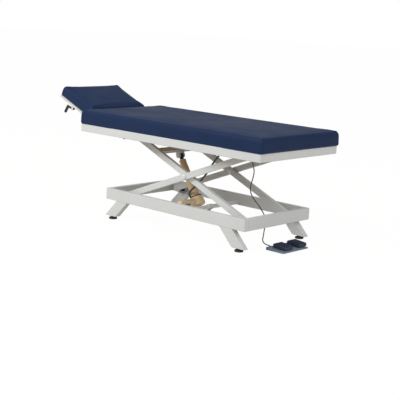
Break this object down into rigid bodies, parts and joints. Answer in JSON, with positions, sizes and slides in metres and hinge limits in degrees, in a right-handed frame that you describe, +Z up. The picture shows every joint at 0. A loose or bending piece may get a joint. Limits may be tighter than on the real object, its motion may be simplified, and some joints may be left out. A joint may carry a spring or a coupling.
{
  "type": "electric examination table",
  "caption": "Height-adjustable examination table: scissor lift with a linear actuator, long mattress, tilting head section, gas spring and a twin-pedal foot switch.",
  "frame": {"origin": "on the floor under the middle of the table's bounding box", "axes": "+X towards the foot end, +Y towards the far long side (the release lever is on the -Y side), +Z up"},
  "size_m": [1.784, 0.692, 0.7585],
  "materials": {
    "white_enamel": "semi-gloss powder coat",
    "bright_steel": "turned and ground",
    "bronze": "turned",
    "black_plastic": "fine grain",
    "cable_black": "smooth sheath",
    "tan_plastic": "satin moulded case",
    "navy_vinyl": "fine-grained coated upholstery",
    "plywood": "sanded",
    "grey_plate": "satin",
    "pedal_rubber": "ribbed"
  },
  "bodies": {
    "base": {"base_side_rail_near": "white_enamel", "base_side_rail_far": "white_enamel", "base_head_rail": "white_enamel", "base_foot_rail": "white_enamel", "leg_head_near": "white_enamel", "leg_head_far": "white_enamel", "leg_foot_near": "white_enamel", "leg_foot_far": "white_enamel", "floor_pads": "black_plastic", "base_slide_guides": "white_enamel", "base_pivot_bosses": "white_enamel", "base_pins": "bright_steel", "base_cross_tube": "white_enamel", "foot_cable_clip": "black_plastic", "foot_switch_plate": "grey_plate", "foot_cable_lower": "cable_black"},
    "inner_arms": {"inner_arm_near": "white_enamel", "inner_arm_far": "white_enamel", "lifting_cross_tube": "white_enamel", "rod_clevis": "white_enamel", "middle_pins": "bright_steel", "pin_caps": "white_enamel", "upper_slide_pins": "bright_steel"},
    "outer_arms": {"outer_arm_near": "white_enamel", "outer_arm_far": "white_enamel", "outer_cross_tube": "white_enamel", "middle_bushes": "bronze", "lower_slide_pins": "bright_steel"},
    "lower_slides": {"lower_slide_blocks": "black_plastic"},
    "upper_slides": {"upper_slide_blocks": "black_plastic"},
    "actuator_body": {"gear_housing": "tan_plastic", "actuator_motor": "tan_plastic", "guide_tube": "tan_plastic", "housing_gasket": "black_plastic", "motor_cable_lower": "cable_black"},
    "actuator_rod": {"push_rod": "bright_steel", "rod_eye": "black_plastic"},
    "top_frame": {"top_side_rail_near": "white_enamel", "top_side_rail_far": "white_enamel", "top_head_rail": "white_enamel", "top_foot_rail": "white_enamel", "top_cross_rails": "white_enamel", "top_slide_guides": "white_enamel", "top_pivot_brackets": "white_enamel", "top_pivot_pins": "bright_steel", "mattress_panel": "plywood", "mattress": "navy_vinyl", "control_box": "black_plastic", "head_brackets": "white_enamel", "foot_cable_upper": "cable_black", "motor_cable_upper": "cable_black"},
    "head_section": {"head_side_bars": "white_enamel", "head_cross_bars": "white_enamel", "head_panel": "plywood", "head_cushion": "navy_vinyl"},
    "gas_spring_cylinder": {"gas_cylinder": "black_plastic"},
    "gas_spring_rod": {"piston_rod": "bright_steel"},
    "lever": {"release_lever": "black_plastic"},
    "raise_pedal": {"pedal_raise": "pedal_rubber"},
    "lower_pedal": {"pedal_lower": "pedal_rubber"}
  },
  "joints": [
    {"name": "lift", "type": "hinge", "parent": "base", "child": "inner_arms", "pos_m": [0.68503, 0, 0.15], "axis": [0, 1, 0], "range_deg": [-0.5, 14], "deforming": ["foot_cable_upper", "motor_cable_upper", "motor_cable_lower"]},
    {"name": "scissor_middle", "type": "hinge", "parent": "inner_arms", "child": "outer_arms", "pos_m": [0.22313, 0, 0.33615], "axis": [0, 1, 0], "range_deg": [-28.01, 1.01]},
    {"name": "top_pivot", "type": "hinge", "parent": "outer_arms", "child": "top_frame", "pos_m": [0.68503, 0, 0.5223], "axis": [0, 1, 0], "range_deg": [-0.51, 14.01]},
    {"name": "lower_slide_turn", "type": "hinge", "parent": "outer_arms", "child": "lower_slides", "pos_m": [-0.23877, 0, 0.15], "axis": [0, 1, 0], "range_deg": [-0.51, 14.01]},
    {"name": "upper_slide_turn", "type": "hinge", "parent": "inner_arms", "child": "upper_slides", "pos_m": [-0.23877, 0, 0.5223], "axis": [0, 1, 0], "range_deg": [-14.01, 0.51]},
    {"name": "actuator_swing", "type": "hinge", "parent": "base", "child": "actuator_body", "pos_m": [0.15753, 0, 0.113], "axis": [0, 1, 0], "range_deg": [-0.74, 20.11]},
    {"name": "actuator_stroke", "type": "slide", "parent": "actuator_body", "child": "actuator_rod", "axis": [-0.5219, 0, 0.853], "range_m": [-0.00436, 0.12153]},
    {"name": "head_tilt", "type": "hinge", "parent": "top_frame", "child": "head_section", "pos_m": [-0.58097, 0, 0.5523], "axis": [0, 1, 0], "range_deg": [-22.5, 12.5]},
    {"name": "gas_spring_swing", "type": "hinge", "parent": "top_frame", "child": "gas_spring_cylinder", "pos_m": [-0.52462, 0, 0.4547], "axis": [0, 1, 0], "range_deg": [-11.26, 6.26]},
    {"name": "gas_spring_stroke", "type": "slide", "parent": "gas_spring_cylinder", "child": "gas_spring_rod", "axis": [-0.7688, 0, 0.6394], "range_m": [-0.01706, 0.00949]},
    {"name": "release_lever_pull", "type": "hinge", "parent": "head_section", "child": "lever", "pos_m": [-0.77343, -0.223, 0.62336], "axis": [0, -1, 0], "range_deg": [0, 12], "stiffness_Nm_per_rad": 0.5, "springref_deg": -17.19},
    {"name": "pedal_raise_press", "type": "hinge", "parent": "base", "child": "raise_pedal", "pos_m": [0.80403, -0.051, 0.02059], "axis": [0, 1, 0], "range_deg": [0, 3], "stiffness_Nm_per_rad": 2, "springref_deg": -8.59},
    {"name": "pedal_lower_press", "type": "hinge", "parent": "base", "child": "lower_pedal", "pos_m": [0.80403, 0.072, 0.02059], "axis": [0, 1, 0], "range_deg": [0, 3], "stiffness_Nm_per_rad": 2, "springref_deg": -8.59}
  ],
  "couplings": [
    {"joint": "scissor_middle", "follows": "lift", "ratio": -2},
    {"joint": "top_pivot", "follows": "lift", "ratio": 1},
    {"joint": "lower_slide_turn", "follows": "lift", "ratio": 1},
    {"joint": "upper_slide_turn", "follows": "lift", "ratio": -1},
    {"joint": "actuator_swing", "follows": "lift", "ratio": 1.4352},
    {"joint": "actuator_stroke", "follows": "lift", "m_per_rad": 0.4973},
    {"joint": "gas_spring_swing", "follows": "head_tilt", "ratio": 0.5},
    {"joint": "gas_spring_stroke", "follows": "head_tilt", "m_per_rad": 0.0434}
  ]
}
